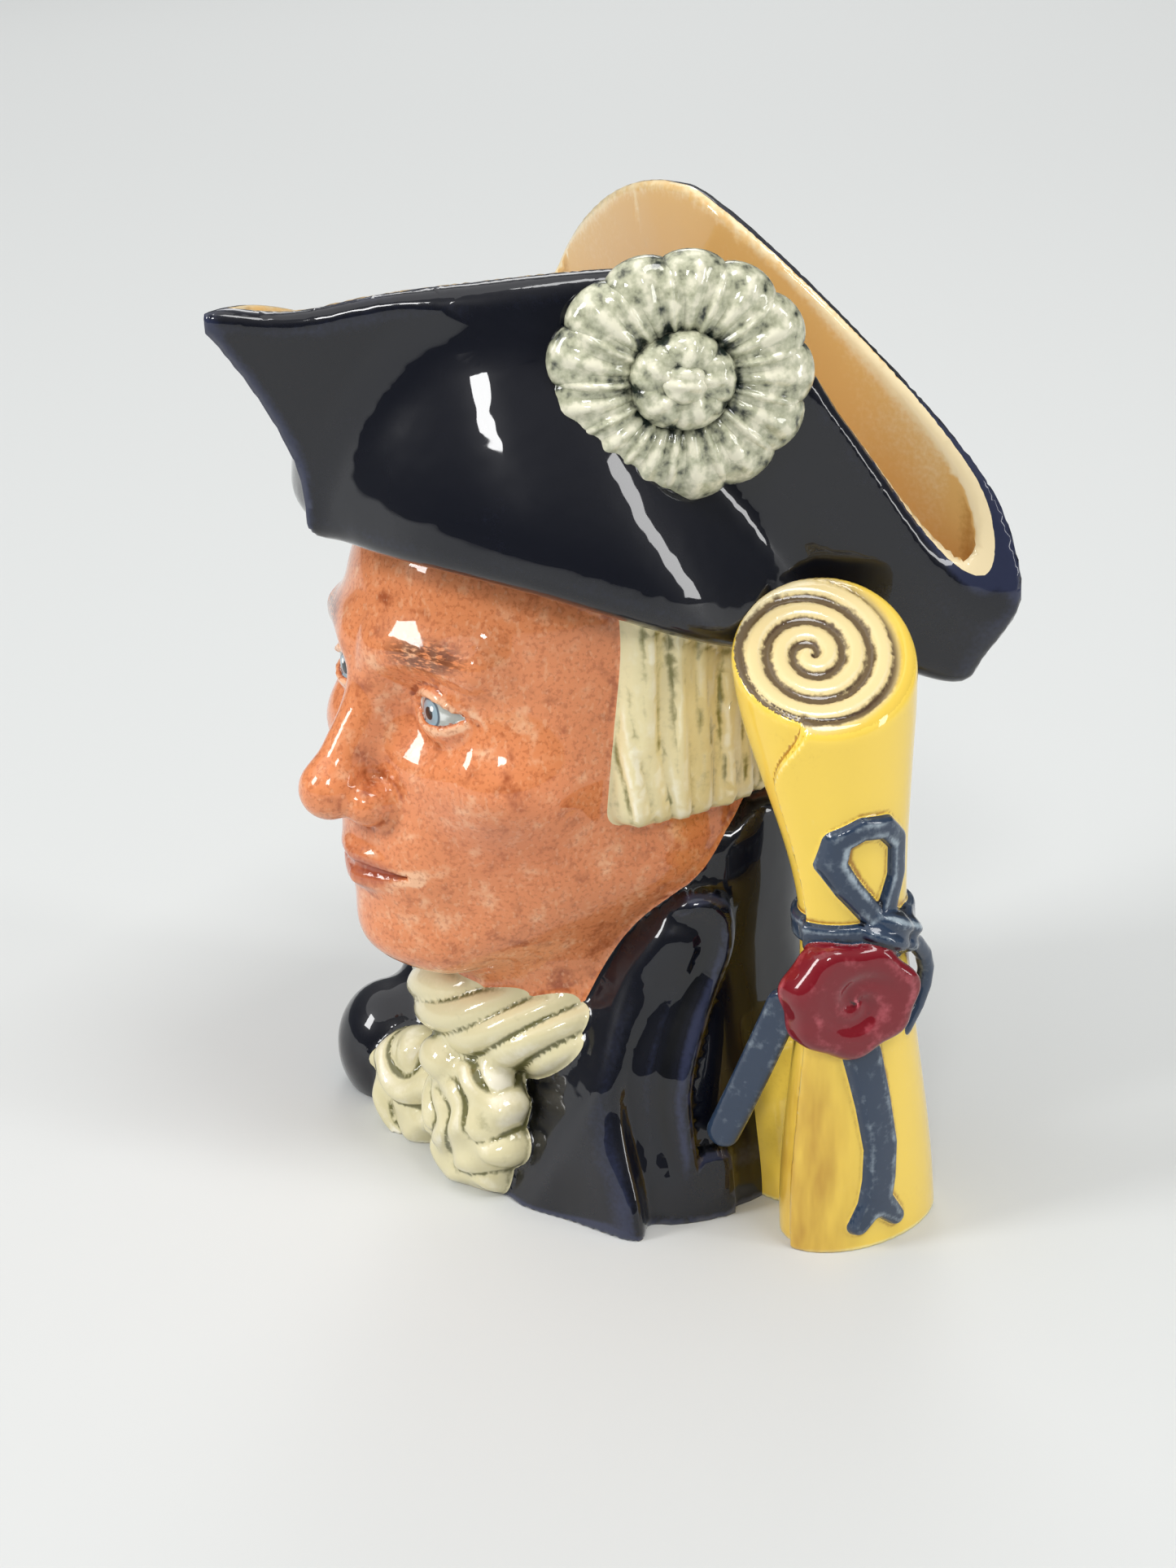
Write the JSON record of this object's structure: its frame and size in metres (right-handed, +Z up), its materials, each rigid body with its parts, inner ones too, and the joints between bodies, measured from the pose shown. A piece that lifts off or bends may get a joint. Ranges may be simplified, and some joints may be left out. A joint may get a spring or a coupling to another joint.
{
  "type": "character jug",
  "caption": "Hollow glazed ceramic head-shaped jug in a cocked hat, open at the top, with a rolled-scroll handle at its side.",
  "frame": {"origin": "on the table, in the middle of the flat base", "axes": "+Z up; the face looks along -Y; the scroll handle is on the +X side"},
  "size_m": [0.1426, 0.129, 0.1877],
  "materials": {
    "navy_glaze": "gloss",
    "buff_glaze": "gloss",
    "flesh_glaze": "gloss",
    "cream_glaze": "gloss",
    "yellow_glaze": "gloss",
    "grey_green_glaze": "gloss",
    "slate_blue_glaze": "gloss",
    "wax_red_glaze": "gloss"
  },
  "bodies": {
    "root": {"character_jug": "navy_glaze"}
  },
  "joints": []
}
